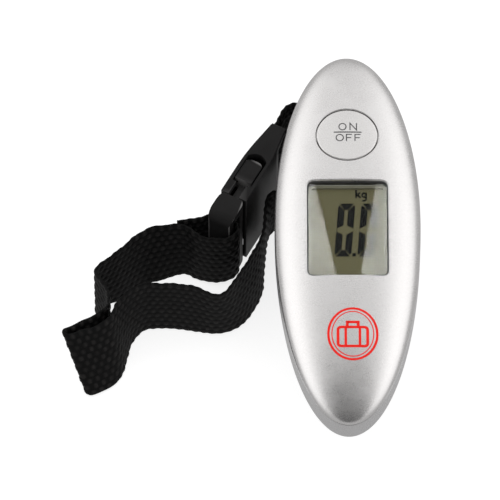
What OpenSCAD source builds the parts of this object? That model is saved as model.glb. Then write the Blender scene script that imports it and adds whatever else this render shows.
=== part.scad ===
// Digital luggage scale: an egg-shaped handle with a display, a steel shackle
// under it, and a loop of flat webbing closed by a side-release buckle.
// The scale lies on its shackle with the webbing and the buckle on their edges.

/* [Body] */
// Half of the greatest width of the body
body_half_w = 22.9; // [22:0.1:24]
// Length of the body from its widest place to its top end
body_top = 62.8; // [60:0.1:66]
// Length of the body from its widest place to its bottom end
body_bottom = 74.2; // [70:0.1:78]
// Height of the parting line above the table
rim_z = 34; // [33.5:0.1:35]
// Height of the lower edge of the straight side wall
wall_z = 26.5; // [26:0.1:29]
// Height of the flat underside
base_z = 15; // [14.5:0.1:15.5]
// Rise of the front face above the parting line
crown = 4.6; // [4:0.1:5.5]
// Thickness of the plastic shells
wall = 2; // [1.6:0.1:2.2]

/* [Display and button] */
// Width of the display window
window_w = 25.3; // [24:0.1:26]
// Length of the display window
window_l = 35.2; // [34:0.1:36]
// Place of the window's middle along the body
window_y = 1.7; // [0:0.1:3]
// Diameter of the opening for the button
button_d = 19.9; // [18:0.1:21]
// Place of the button along the body
button_y = 36.7; // [35.5:0.1:38]
// Travel of the button
button_travel = 0.6; // [0.3:0.1:0.8]

/* [Webbing] */
// Width of the webbing
web_w = 25; // [25:0.1:25.5]
// Thickness of the webbing
web_t = 1.5; // [1.2:0.1:1.6]

/* [Buckle] */
// Width of the buckle, which is its height as it stands on its edge
buckle_w = 32.5; // [32:0.1:33]
// Length of the closed buckle
buckle_l = 40; // [39.5:0.1:41]
// Thickness of the buckle at its mouth
buckle_t = 9; // [8.6:0.1:9.2]
// Angle between the buckle's length and the X axis
buckle_angle = 61.6; // [61:0.1:62]
// Angle that each prong bends inwards to let go
prong_swing = 11; // [8:0.5:11]

/* [Hidden] */
$fn = 64;
body_mid = (body_bottom - body_top) / 2;
base_share = 0.62;

// Display stack
lens_t = 1.2;
lens_top = rim_z + 3.3;
bezel_t = 0.8;
lcd_t = 1.8;
lcd_top = lens_top - lens_t - bezel_t;
pcb_top = rim_z - 2.4;
pcb_t = 1.6;

// Curve of the button's top across the body, and its slope towards the top end
button_curve = 100;
button_tilt = 2.2;
flange_z = rim_z + 1.2;
switch_h = 2.5;
plunger_r = 1.7;

// Load path
beam_bottom = base_z + 8;
beam_h = 4;
beam_w = 10;
beam_l = 86;
post_y = 38;
plate_t = 2;
cheek_gap = 27;
cheek_w = 16;
pin_z = 6.5;
pin_r = 2;

// Battery
battery_y = -24;
cap_r = 11.4;
cap_t = 2;
cell_r = 10;
cell_h = 3.2;
cell_z = base_z + 3.8;

// Screws that hold the two shells together: x, y
case_screws_at = [[-10.5, 52], [10.5, 52], [-10.5, -48], [10.5, -48]];
screw_r = 1.2;
boss_r = 3;

// Buckle: the place of the base's end, then lengths along the buckle
buckle_at = [-40.5, 8.6];
mouth_u = 10;
arch_u = 26;
block_u = 28;
male_bar = 2.2;
male_slot_end = 6;
female_slot = [33.5, 37.8];
slot_margin = 2.9;
stem_t = 3;
head_t = 7;
head_u = [16.8, 25.4];
pivot_u = 7.6;
pivot_w = 5;
pivot_r = 1.5;
female_end_t = 5;
female_wall = 1.2;
lug_l = 3.6;
lug_d = 2.2;

// Webbing routes. Each row is the middle of the webbing, x, y, z, and how far
// the top edge leans from it along x and y. The top edge of flat webbing is
// the one that would rise first.
front_route = [
    [0, 1.5, 9.5, -12.5, 0], [0, -0.3, 9.45, -12.5, 0], [0, -2.15, 8.65, -12.5, 0],
    [0, -3.05, 6.5, -12.5, 0], [0, -2.15, 4.35, -12.5, 0], [0, -0.3, 3.5, -12.5, 0],
    [-0.5, 9.5, 4, -12.2, -2.2], [-4, 15, 5.5, -10.3, -6], [-9.5, 19.3, 7.8, -6.7, -7.9],
    [-15.2, 22.3, 10.4, -3.9, -6.6], [-19.5, 24.3, 12.4, -1.3, -3.2], [-22.8, 24.8, 12.7, 0, -0.5],
    [-24.9, 22.5, 12.7, 0, 0], [-26.5, 9, 12.6, 0, 0], [-28.5, 0.8, 12.7, -1.4, 0],
    [-33.3, -8.2, 12.7, -1.2, 0.8], [-37.2, -12.6, 12.6, -0.5, -0.2], [-41.1, -14, 12.6, 0, -0.6],
    [-46.8, -12.4, 12.6, 0, 0.4], [-53.2, -11.2, 12.6, 0, 0.6], [-59.6, -10.9, 12.6, 0, 0.6],
    [-64.2, -11.5, 12.6, 0, 0.9], [-68.6, -15.3, 12.6, -0.6, 2.1], [-70.6, -19.3, 12.6, -1.4, 2.7],
    [-72.9, -25.8, 12.4, -2.1, 3.1], [-76.2, -28.8, 12, -3.2, 3.8], [-79.6, -30.6, 11.8, -3.4, 4.3],
    [-84.5, -32.2, 11.7, -3.6, 4.6], [-85.6, -30.8, 11.7, -3.6, 4.6], [-84.2, -29.4, 11.7, -3.5, 4.5],
    [-78.6, -25.6, 12.3, -2.2, 3.2], [-75, -20.4, 12.6, -0.6, 1.8], [-75.4, -13, 12.6, 0, 0.6],
    [-79, -6.4, 12.6, 0, 0.2], [-78.8, -4.6, 12.6, 0, 0.2], [-72, 0.4, 12.7, -0.6, 0.9],
    [-65, 6.6, 12.7, -0.9, 1.6], [-60.5, 8.4, 12.7, -0.6, 2.5], [-51.3, 10.2, 12.7, 0, 1.4],
    [-47, 7, 13.2, 0, 0.5], [-41, 4.8, 14.6, 0, 0.3], [-36.8, 5, 15.7, 0, 0],
    [-34.6, 7.2, 16.1, 0, 0], [-34.9, 9.9, 16.25, 0, 0], [-36.8, 11.2, 16.25, 0, 0],
    [-41.3, 13.7, 16.25, 0, 0], [-44.5, 13.4, 14.6, 0, 0.2], [-48.5, 12.8, 13.4, 0, 0.6],
    [-53.6, 12, 12.8, 0, 1.3]];
tail_route = [
    [0, 1.6, 9.5, -12.5, 0], [0, 3, 9.55, -12.5, 0], [0.7, 9, 10.7, -12.4, 1.5], [3.2, 18, 10.8, -12.5, 0],
    [1.5, 28, 9.7, -12.1, -2.2], [-2.5, 37, 8.8, -11.2, -3.6], [-6.5, 43.5, 9.5, -9.9, -4.5],
    [-9.3, 49.6, 11.2, -7, -4.2], [-12, 55.6, 12.9, -2.4, -3.5], [-15.3, 57.2, 14.3, 0, -0.8],
    [-18.4, 55.2, 15.5, 0, 0], [-20.9, 51.1, 16, 0, 0], [-22.7, 46.7, 16.25, 0, 0],
    [-23.8, 43.9, 16.25, 0, 0], [-24.6, 42.3, 16.25, 0, 0], [-24.3, 40.5, 16.25, 0, 0],
    [-22.7, 39.7, 16.25, 0, 0], [-21, 40.4, 16.25, 0, 0], [-20.1, 41.9, 16.25, 0, 0],
    [-19.5, 44, 16.25, 0, 0], [-20.5, 46, 16.25, 0, 0], [-19.4, 48.7, 16, 0, 0],
    [-17.5, 51, 15.4, 0, 0]];

// Share of the crown's rise that is left at a share r of the outline
function dome(r) = sqrt(1 - pow(r, 2.5));

// Height of the front face above a place on the body
function outline_share(x, y) =
    norm([x / body_half_w, (y - body_mid) / (y > body_mid ? body_top : body_bottom)]);
function face_z(x, y) = rim_z + crown * dome(outline_share(x, y));

dome_steps = [for (i = [0:6]) i / 8, for (i = [0:6]) 0.8 + 0.2 * sin(i * 15)];

// An egg-shaped solid turned from a profile of outline share and height
module egg(profile, inset = 0) {
    for (half = [[0, body_top], [180, body_bottom]])
        translate([0, body_mid, 0])
            scale([body_half_w - inset, half[1] - inset, 1])
                rotate([0, 0, half[0]])
                    rotate_extrude(angle = 180)
                        polygon(profile);
}

module rounded_plate(w, l, h, r) {
    linear_extrude(h)
        hull()
            for (x = [-1, 1], y = [-1, 1])
                translate([x * (w / 2 - r), y * (l / 2 - r)])
                    circle(r, $fn = 32);
}

module window_block(inset, z, h) {
    translate([0, window_y, z])
        rounded_plate(window_w - 2 * inset, window_l - 2 * inset, h, 2 - min(inset, 1));
}

module front_cover() {
    outer = concat([[0, rim_z]], [for (r = dome_steps) [r, rim_z + crown * dome(r)]]);
    inner = concat([[0, rim_z - 1]],
        [for (r = dome_steps) [r, rim_z - 0.01 + (crown - wall + 0.4) * dome(r)]], [[1, rim_z - 1]]);
    color("silver")
        difference() {
            egg(outer);
            egg(inner, wall);
            window_block(0, rim_z, crown + 1);
            translate([0, button_y, rim_z])
                cylinder(d = button_d, h = crown + 1);
        }
}

module rear_casing() {
    outer = [[0, base_z], [base_share, base_z], [0.72, base_z + 2.6], [0.83, base_z + 6.2],
        [0.92, base_z + 9.6], [1, wall_z], [1, rim_z], [0, rim_z]];
    inner = [[0, base_z + wall], [base_share, base_z + wall], [0.83, base_z + 7.4],
        [1, wall_z + 1], [1, rim_z + 1], [0, rim_z + 1]];
    color([0.72, 0.72, 0.73])
        difference() {
            union() {
                difference() {
                    egg(outer);
                    egg(inner, wall);
                }
                // Pillars for the case screws, cut to the outside by the shell
                intersection() {
                    for (at = case_screws_at)
                        translate([at[0], at[1], base_z])
                            cylinder(r = boss_r, h = rim_z - base_z - 3);
                    egg(outer);
                }
                // Posts that hold the ends of the load beam
                for (side = [-1, 1])
                    translate([-beam_w / 2, side * post_y - 4, base_z + wall - 0.5])
                        cube([beam_w, 8, beam_bottom - base_z - wall + 0.5]);
                // Round housing of the battery
                translate([0, battery_y, base_z])
                    cylinder(r = cap_r + 2.6, h = cap_t + 2.6);
            }
            // Battery opening: the mouth, then the groove that the cap's lugs turn in
            translate([0, battery_y, base_z - 1])
                cylinder(r = cap_r + 0.3, h = 10);
            translate([0, battery_y, base_z + cap_t + 0.1])
                cylinder(r = cap_r + 1.3, h = 1.5);
            for (turn = [0, 120, 240])
                translate([0, battery_y, base_z - 1])
                    rotate([0, 0, turn + 60])
                        translate([cap_r - 1, -2.4, 0])
                            cube([2.3, 4.8, cap_t + 2]);
            // Slots that the shackle's cheeks pass through
            for (side = [-1, 1])
                translate([side * (cheek_gap / 2 + plate_t / 2) - 1.4, -5.6, base_z - 1])
                    cube([2.8, 11.2, 12]);
            // Screw holes and their counterbores
            for (at = case_screws_at)
                translate([at[0], at[1], base_z]) {
                    cylinder(r = screw_r + 0.3, h = 30);
                    cylinder(r = 2.5, h = 11);
                }
            for (side = [-1, 1])
                translate([0, side * post_y, base_z + wall + 0.5])
                    cylinder(r = 1.5, h = 10);
        }
}

module display_lens() {
    color([0.75, 0.78, 0.72, 0.5])
        window_block(0.2, lens_top - lens_t, lens_t);
}

module display_bezel() {
    color([0.7, 0.72, 0.66])
        difference() {
            window_block(0.2, lens_top - lens_t - bezel_t, bezel_t);
            window_block(1.4, lens_top - lens_t - bezel_t - 1, bezel_t + 2);
        }
}

module lcd_panel() {
    color([0.6, 0.6, 0.48])
        window_block(0.5, lcd_top - lcd_t, lcd_t);
}

module zebra_strips() {
    color("dimgray")
        for (side = [-1, 1])
            translate([side * 9.5 - 1.2, window_y - 15, pcb_top])
                cube([2.4, 30, lcd_top - lcd_t - pcb_top]);
}

module circuit_board() {
    color("darkgreen")
        difference() {
            translate([0, 14, pcb_top - pcb_t])
                rounded_plate(28, 66, pcb_t, 4);
            for (x = [-11, 11], y = [-15, 43])
                translate([x, y, pcb_top - pcb_t - 1])
                    cylinder(r = 1.1, h = pcb_t + 2);
        }
}

module controller_chip() {
    color([0.08, 0.08, 0.08])
        translate([0, -6, pcb_top - pcb_t - 1.4])
            cylinder(r1 = 3.4, r2 = 5, h = 1.4);
}

module tact_switch() {
    color("gainsboro")
        translate([0, button_y, pcb_top])
            difference() {
                translate([-3, -3, 0])
                    cube([6, 6, switch_h]);
                translate([0, 0, 1])
                    cylinder(r = plunger_r + 0.1, h = switch_h);
            }
}

module switch_plunger() {
    color("dimgray")
        translate([0, button_y, pcb_top + 1.1 + button_travel])
            cylinder(r = plunger_r, h = flange_z - pcb_top - 1.1 - button_travel);
}

module power_button() {
    reach = 40;
    color([0.8, 0.8, 0.8]) {
        // The top follows the face, which is far flatter along the body than across it
        intersection() {
            translate([0, button_y, flange_z + 0.2])
                cylinder(d = button_d - 0.7, h = crown + 1);
            translate([0, button_y, face_z(0, button_y) - 0.15])
                rotate([90 - button_tilt, 0, 0])
                    translate([0, -button_curve, -reach / 2])
                        cylinder(r = button_curve, h = reach, $fn = 400);
        }
        translate([0, button_y, flange_z])
            cylinder(d = button_d + 1.6, h = 0.8);
    }
}

module load_beam() {
    color("lightgray")
        difference() {
            translate([-beam_w / 2, -beam_l / 2, beam_bottom])
                cube([beam_w, beam_l, beam_h]);
            // Two round windows on each side make the thin bending sections
            for (y = [-24, -16, 16, 24])
                translate([-beam_w, y, beam_bottom + beam_h / 2])
                    rotate([0, 90, 0])
                        cylinder(r = 1.4, h = 2 * beam_w);
            for (y = [-post_y, -4, 4, post_y])
                translate([0, y, beam_bottom - 1])
                    cylinder(r = 1.55, h = beam_h + 2);
        }
}

module strain_gauges() {
    color("goldenrod")
        for (y = [-20, 20])
            translate([-2.5, y - 4, beam_bottom + beam_h])
                cube([5, 8, 0.2]);
}

module pan_screw(head_r, head_h, shank_r, length) {
    cylinder(r = head_r, h = head_h);
    translate([0, 0, -length])
        cylinder(r = shank_r, h = length + 0.01);
}

module beam_screws() {
    color("silver")
        for (side = [-1, 1])
            translate([0, side * post_y, beam_bottom + beam_h])
                pan_screw(2.6, 1.6, 1.45, beam_h + 4.5);
}

module shackle() {
    half = cheek_gap / 2;
    plate_z = beam_bottom - plate_t;
    color("lightsteelblue")
        difference() {
            union() {
                translate([-half - plate_t, -5, plate_z])
                    cube([cheek_gap + 2 * plate_t, 10, plate_t]);
                for (side = [-1, 1])
                    translate([side * (half + plate_t / 2) - plate_t / 2, 0, 0])
                        rotate([90, 0, 90])
                            linear_extrude(plate_t)
                                polygon([[-cheek_w / 2, 0], [cheek_w / 2, 0], [cheek_w / 2, 7],
                                    [5, 13], [5, beam_bottom], [-5, beam_bottom], [-5, 13],
                                    [-cheek_w / 2, 7]]);
            }
            for (y = [-4, 4])
                translate([0, y, plate_z - 1])
                    cylinder(r = 1.3, h = plate_t + 2);
            translate([-half - 5, 0, pin_z])
                rotate([0, 90, 0])
                    cylinder(r = pin_r, h = cheek_gap + 10);
        }
}

module shackle_screws() {
    color("silver")
        for (y = [-4, 4])
            translate([0, y, beam_bottom + beam_h])
                pan_screw(2.4, 1.4, 1.25, beam_h + plate_t);
}

module strap_pin() {
    half = cheek_gap / 2 + plate_t;
    color("gainsboro")
        translate([-half - 0.8, 0, pin_z])
            rotate([0, 90, 0]) {
                cylinder(r = pin_r, h = 2 * half + 1.6);
                cylinder(r = pin_r + 1.2, h = 0.8);
                translate([0, 0, 2 * half + 0.8])
                    cylinder(r = pin_r + 1.2, h = 0.8);
            }
}

module coin_cell() {
    color("silver")
        translate([0, battery_y, cell_z])
            rotate_extrude()
                polygon([[0, 0], [cell_r - 1.6, 0], [cell_r - 1.6, 0.3], [cell_r - 0.4, 0.3],
                    [cell_r, 0.8], [cell_r, cell_h], [0, cell_h]]);
}

module positive_contact() {
    color("gold")
        translate([0, battery_y, cell_z])
            union() {
                translate([cell_r + 0.1, -3, 0.4])
                    cube([0.4, 6, pcb_top - pcb_t - cell_z - 0.4]);
                translate([cell_r - 2, -3, cell_h + 0.1])
                    cube([2.4, 6, 0.3]);
            }
}

module negative_contact() {
    color("gold")
        translate([-2, battery_y - 4, cell_z - 0.9])
            cube([4, 8, 0.6]);
}

module battery_cap() {
    color([0.7, 0.7, 0.72])
        translate([0, battery_y, base_z])
            difference() {
                union() {
                    cylinder(r = cap_r, h = cap_t + 0.7);
                    for (turn = [0, 120, 240])
                        rotate([0, 0, turn])
                            intersection() {
                                translate([cap_r - 2, -1.9, cap_t + 0.3])
                                    cube([4, 3.8, 0.9]);
                                cylinder(r = cap_r + 1, h = 5);
                            }
                }
                translate([-5.5, -0.8, -1])
                    cube([11, 1.6, 1.9]);
            }
}

module case_screws() {
    color("gray")
        for (at = case_screws_at)
            translate([at[0], at[1], base_z + 11])
                rotate([180, 0, 0])
                    pan_screw(2.3, 1.4, screw_r, rim_z - base_z - 11 + 1);
}

// Corners of the webbing's section at one place of a route
function web_frame(route, i) =
    let (
        p = route[i],
        a = route[max(i - 1, 0)],
        b = route[min(i + 1, len(route) - 1)],
        lean = [p[3], p[4], sqrt(pow(web_w / 2, 2) - pow(p[3], 2) - pow(p[4], 2))],
        along = [b[0] - a[0], b[1] - a[1], b[2] - a[2]],
        n = cross(along, lean),
        face = n / norm(n) * web_t / 2,
        mid = [p[0], p[1], p[2]])
    [mid - lean - face, mid - lean + face, mid + lean + face, mid + lean - face];

module webbing(route) {
    count = len(route);
    points = [for (i = [0:count - 1]) each web_frame(route, i)];
    sides = [for (i = [0:count - 2], k = [0:3])
        let (a = 4 * i + k, b = 4 * i + (k + 1) % 4)
        each [[a, a + 4, b], [b, a + 4, b + 4]]];
    last = 4 * (count - 1);
    ends = [[0, 1, 2], [0, 2, 3], [last, last + 2, last + 1], [last, last + 3, last + 2]];
    polyhedron(points, concat(sides, ends));
}

module strap() {
    color([0.1, 0.1, 0.1])
        webbing(front_route);
}

module strap_tail() {
    color([0.1, 0.1, 0.1])
        webbing(tail_route);
}

// Buckle frame: u runs along it, v through its thickness, w up its width
module in_buckle() {
    translate([buckle_at[0], buckle_at[1], 0])
        rotate([0, 0, buckle_angle])
            children();
}

module block(u0, u1, v, w0, w1) {
    translate([u0, -v, w0])
        cube([u1 - u0, 2 * v, w1 - w0]);
}

module buckle_female() {
    t = buckle_t / 2;
    end_t = female_end_t / 2;
    color([0.13, 0.13, 0.13])
        in_buckle()
            difference() {
                linear_extrude(buckle_w)
                    polygon([[mouth_u, -t], [arch_u, -t], [buckle_l - 3, -end_t - 0.3], [buckle_l, -end_t],
                        [buckle_l, end_t], [buckle_l - 3, end_t + 0.3], [arch_u, t], [mouth_u, t]]);
                // Room for the prongs and the tongue
                block(mouth_u + lug_l + 1.6, block_u, t - female_wall, -1, buckle_w + 1);
                block(mouth_u - 1, block_u, t - female_wall, lug_d, buckle_w - lug_d);
                block(mouth_u - 1, block_u, stem_t / 2 + 0.4, -1, buckle_w + 1);
                // Eye for the webbing, and the thin bar that it goes round
                block(female_slot[0], female_slot[1], t + 1, slot_margin, buckle_w - slot_margin);
                for (side = [-1, 1])
                    translate([female_slot[1] - 0.1, side > 0 ? 1.1 : -1.1 - t, slot_margin])
                        cube([4, t, buckle_w - 2 * slot_margin]);
            }
}

module buckle_male() {
    t = buckle_t / 2 - 0.2;
    mid = buckle_w / 2;
    color([0.13, 0.13, 0.13])
        in_buckle()
            difference() {
                union() {
                    intersection() {
                        block(0, mouth_u - 0.2, t, 0, buckle_w);
                        translate([0, t, 0])
                            rotate([90, 0, 0])
                                linear_extrude(2 * t)
                                    hull() {
                                        for (w = [4, buckle_w - 4])
                                            translate([4, w])
                                                circle(4, $fn = 32);
                                        translate([mouth_u - 1, 0])
                                            square([1, buckle_w]);
                                    }
                    }
                    block(mouth_u - 1, 24, 1.3, mid - 3, mid + 3);
                }
                block(male_bar, male_slot_end, t + 1, slot_margin, buckle_w - slot_margin);
                for (w = [pivot_w, buckle_w - pivot_w]) {
                    translate([pivot_u, stem_t / 2 + 0.1, w])
                        rotate([90, 0, 0])
                            cylinder(r = pivot_r + 0.06, h = stem_t + 0.2);
                    block(pivot_u, mouth_u + 1, stem_t / 2 + 0.1, w - 1.8, w + 1.8);
                }
            }
}

// A prong with its arm and its wide head, for the upper side
module prong() {
    w = buckle_w - pivot_w;
    translate([pivot_u, stem_t / 2, w])
        rotate([90, 0, 0])
            cylinder(r = pivot_r, h = stem_t);
    block(pivot_u, head_u[0] + 1, stem_t / 2, w - 1.1, w + 1.1);
    translate([0, head_t / 2 - 0.3, 0])
        rotate([90, 0, 0])
            linear_extrude(head_t - 0.6)
                polygon([[head_u[0], w - 1.1], [head_u[1], w + 0.6], [head_u[1], w + 2.2],
                    [head_u[1] - 2, w + 4], [head_u[0], w + 4.5]]);
}

module upper_prong() {
    color([0.16, 0.16, 0.16])
        in_buckle()
            prong();
}

module lower_prong() {
    color([0.16, 0.16, 0.16])
        in_buckle()
            translate([0, 0, buckle_w])
                mirror([0, 0, 1])
                    prong();
}

front_cover();
rear_casing();
display_lens();
display_bezel();
lcd_panel();
zebra_strips();
circuit_board();
controller_chip();
tact_switch();
switch_plunger();
power_button();
load_beam();
strain_gauges();
beam_screws();
shackle();
shackle_screws();
strap_pin();
coin_cell();
positive_contact();
negative_contact();
battery_cap();
case_screws();
strap();
strap_tail();
buckle_female();
buckle_male();
upper_prong();
lower_prong();
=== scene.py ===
import math

import bmesh
import bpy
import numpy as np
from mathutils import Matrix, Vector
from mathutils.geometry import delaunay_2d_cdt


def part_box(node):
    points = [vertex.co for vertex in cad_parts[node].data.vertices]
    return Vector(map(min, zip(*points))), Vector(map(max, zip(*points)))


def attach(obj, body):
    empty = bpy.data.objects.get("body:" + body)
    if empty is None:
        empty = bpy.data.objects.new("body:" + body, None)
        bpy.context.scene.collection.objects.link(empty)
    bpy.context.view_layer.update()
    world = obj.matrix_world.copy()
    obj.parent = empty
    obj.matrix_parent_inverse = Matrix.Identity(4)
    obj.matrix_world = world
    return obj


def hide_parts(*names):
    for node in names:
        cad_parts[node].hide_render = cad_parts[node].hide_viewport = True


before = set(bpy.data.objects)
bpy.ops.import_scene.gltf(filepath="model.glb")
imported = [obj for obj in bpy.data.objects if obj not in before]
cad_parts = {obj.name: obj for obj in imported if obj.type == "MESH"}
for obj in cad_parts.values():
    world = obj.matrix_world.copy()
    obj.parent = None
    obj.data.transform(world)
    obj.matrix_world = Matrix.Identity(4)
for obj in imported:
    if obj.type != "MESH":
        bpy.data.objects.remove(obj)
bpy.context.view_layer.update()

# Sizes are in millimetres, and MM turns them into the scene's metres
MM = 0.001


def low_mm(node):
    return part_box(node)[0] / MM


def high_mm(node):
    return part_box(node)[1] / MM


# --------------------------------------------------------------------------
# Camera
# --------------------------------------------------------------------------
AIM = Vector((-30.6, -4.0, 34.0)) * MM
CAMERA_DISTANCE = 2.46
CAMERA_ELEVATION = math.radians(57)
CAMERA_LENS = 566


def make_camera():
    data = bpy.data.cameras.new("camera")
    data.lens = CAMERA_LENS
    data.sensor_width = 36
    data.clip_start = 0.1
    data.clip_end = 20
    camera = bpy.data.objects.new("camera", data)
    back = Vector((0, -math.cos(CAMERA_ELEVATION), math.sin(CAMERA_ELEVATION)))
    camera.location = AIM + back * CAMERA_DISTANCE
    camera.rotation_mode = "QUATERNION"
    camera.rotation_quaternion = (-back).to_track_quat("-Z", "Y")
    bpy.context.scene.collection.objects.link(camera)
    bpy.context.scene.camera = camera
    return camera


camera = make_camera()


# --------------------------------------------------------------------------
# Node and mesh helpers
# --------------------------------------------------------------------------
class Tree:
    """A short way to add nodes to a shader tree and to link them."""

    def __init__(self, tree):
        self.tree = tree

    def node(self, kind, inputs=None, **settings):
        made = self.tree.nodes.new(kind)
        for key, value in settings.items():
            setattr(made, key, value)
        for key, value in (inputs or {}).items():
            self.put(value, made.inputs[key])
        return made

    def put(self, value, socket):
        if isinstance(value, bpy.types.NodeSocket):
            self.tree.links.new(value, socket)
        else:
            socket.default_value = value

    def math(self, operation, a, b=0.0):
        made = self.node("ShaderNodeMath", operation=operation)
        self.put(a, made.inputs[0])
        self.put(b, made.inputs[1])
        return made.outputs[0]

    def span(self, value, low, high, to_low, to_high, smooth=False):
        kind = "SMOOTHSTEP" if smooth else "LINEAR"
        made = self.node("ShaderNodeMapRange", interpolation_type=kind)
        for name, x in (("Value", value), ("From Min", low), ("From Max", high),
                        ("To Min", to_low), ("To Max", to_high)):
            self.put(x, made.inputs[name])
        return made.outputs["Result"]

    def mix(self, factor, a, b):
        made = self.node("ShaderNodeMix", data_type="RGBA")
        self.put(factor, made.inputs[0])
        self.put(a, made.inputs[6])
        self.put(b, made.inputs[7])
        return made.outputs[2]


def rgba(colour):
    return (*colour, 1.0)


def shaded(colour, share):
    return rgba([min(1.0, c * share) for c in colour])


def new_material(name):
    """A material with an empty Principled shader: its tree helper and the shader."""
    made = bpy.data.materials.new(name)
    made.use_nodes = True
    tree = Tree(made.node_tree)
    return made, tree, made.node_tree.nodes["Principled BSDF"]


def place_of(tree, stretch=(1, 1, 1)):
    """Places on the object in metres, stretched along the axes."""
    coordinates = tree.node("ShaderNodeTexCoord")
    return tree.node("ShaderNodeMapping", {"Vector": coordinates.outputs["Object"],
                                           "Scale": stretch}).outputs[0]


def finish(name, colour, rough, metal=0.0, grain=0.3, depth=0.01, contrast=0.12, stretch=(1, 1, 1),
           broad=6.0, edge_highlight=None, **sockets):
    """A surface with a fine grain, in mm, in its colour, gloss and relief, broad soft patches, and,
    where an edge highlight colour is given, a painted highlight: that paler colour on sharp edges."""
    made, tree, shader = new_material(name)
    place = place_of(tree, stretch)
    fine = tree.node("ShaderNodeTexNoise", {"Vector": place, "Scale": 1 / (grain * MM), "Detail": 3.0})
    wide = tree.node("ShaderNodeTexNoise", {"Vector": place, "Scale": 1 / (broad * MM), "Detail": 2.0})
    blend = tree.math("ADD", tree.math("MULTIPLY", fine.outputs["Fac"], 0.65),
                      tree.math("MULTIPLY", wide.outputs["Fac"], 0.35))
    tones = tree.span(blend, 0.3, 0.7, 0.0, 1.0)
    hue = tree.mix(tones, shaded(colour, 1 - contrast), shaded(colour, 1 + contrast))
    if edge_highlight:
        # Painted highlight: sharp edges, found by pointiness, take the paler colour in place of light
        # catching them
        edges = tree.span(tree.node("ShaderNodeNewGeometry").outputs["Pointiness"], 0.54, 0.6, 0.0, 1.0)
        hue = tree.mix(edges, hue, rgba(edge_highlight))
    tree.put(hue, shader.inputs["Base Color"])
    tree.put(tree.span(blend, 0.3, 0.7, max(0.02, rough - 0.05), rough + 0.05), shader.inputs["Roughness"])
    bump = tree.node("ShaderNodeBump", {"Height": fine.outputs["Fac"], "Distance": depth * MM,
                                        "Strength": 1.0})
    tree.put(bump.outputs[0], shader.inputs["Normal"])
    shader.inputs["Metallic"].default_value = metal
    for key, value in sockets.items():
        shader.inputs[key.replace("_", " ")].default_value = value
    return made


def new_object(name, vertices, faces, material, smooth=True):
    """A mesh object from points in millimetres in the row frame."""
    mesh = bpy.data.meshes.new(name)
    mesh.from_pydata([tuple(c * MM for c in v) for v in vertices], [], faces)
    mesh.validate()
    mesh.materials.append(material)
    made = bpy.data.objects.new(name, mesh)
    bpy.context.scene.collection.objects.link(made)
    if smooth:
        shade_smooth(made)
    return made


def shade_smooth(piece):
    piece.data.polygons.foreach_set("use_smooth", [True] * len(piece.data.polygons))


def loft(rings, capped=True):
    """The vertices and faces of a skin over rings of equally many points, either capped at both
    ends or closed from the last ring back to the first."""
    count = len(rings[0])
    vertices = [point for ring in rings for point in ring]
    faces = []
    for i in range(len(rings) - 1 if capped else len(rings)):
        low, high = i * count, (i + 1) % len(rings) * count
        for k in range(count):
            nxt = (k + 1) % count
            faces.append((low + k, low + nxt, high + nxt, high + k))
    if capped:
        last = (len(rings) - 1) * count
        faces.append(tuple(range(count - 1, -1, -1)))
        faces.append(tuple(range(last, last + count)))
    return vertices, faces


def area_of(outline):
    """Twice the area inside an outline, positive if it runs anticlockwise."""
    return sum(a[0] * b[1] - b[0] * a[1] for a, b in zip(outline, outline[1:] + outline[:1]))


def ellipse(x, y, rx, ry, count=36):
    return [(x + rx * math.cos(t), y + ry * math.sin(t))
            for t in np.linspace(0, 2 * math.pi, count, endpoint=False)]


def circle_at(x, y, radius, z, count):
    """A level circle of points."""
    return [(*place, z) for place in ellipse(x, y, radius, radius, count)]


def sharpen(piece, degrees=35):
    """Smooth shading, except over edges that turn by more than this."""
    piece.data.shade_smooth()
    piece.data.set_sharp_from_angle(angle=math.radians(degrees))


def settle(piece):
    """Applies the piece's modifiers to its mesh."""
    graph = bpy.context.evaluated_depsgraph_get()
    mesh = bpy.data.meshes.new_from_object(piece.evaluated_get(graph))
    piece.modifiers.clear()
    piece.data = mesh


def cut(piece, cutters, operation="DIFFERENCE"):
    for cutter in cutters:
        step = piece.modifiers.new("cut", "BOOLEAN")
        step.operation = operation
        step.object = cutter
        step.solver = "EXACT"
        settle(piece)
        bpy.data.objects.remove(cutter)


def round_edges(piece, radius, segments=3, degrees=30):
    step = piece.modifiers.new("round", "BEVEL")
    step.width = radius * MM
    step.segments = segments
    step.limit_method = "ANGLE"
    step.angle_limit = math.radians(degrees)
    step.harden_normals = False
    settle(piece)
    sharpen(piece, 40)


def add_to(piece, body, slot, *nodes):
    """The piece rides on a body and stands for these CAD nodes; the slot argument is not used."""
    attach(piece, body)
    if nodes:
        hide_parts(*nodes)
    return piece


# --------------------------------------------------------------------------
# Webbing: one strap, standing on its edge, in two stretches that meet at the shackle's pin
# --------------------------------------------------------------------------
WEB_W = 25.0
WEB_T = 1.5
YARNS = 11
SAMPLES_PER_YARN = 6
FLOAT_LENGTH = 1.35
RING_STEP = FLOAT_LENGTH / 3.5
YARN_RISE = 0.42
EDGE_ROUND = 0.7

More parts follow.
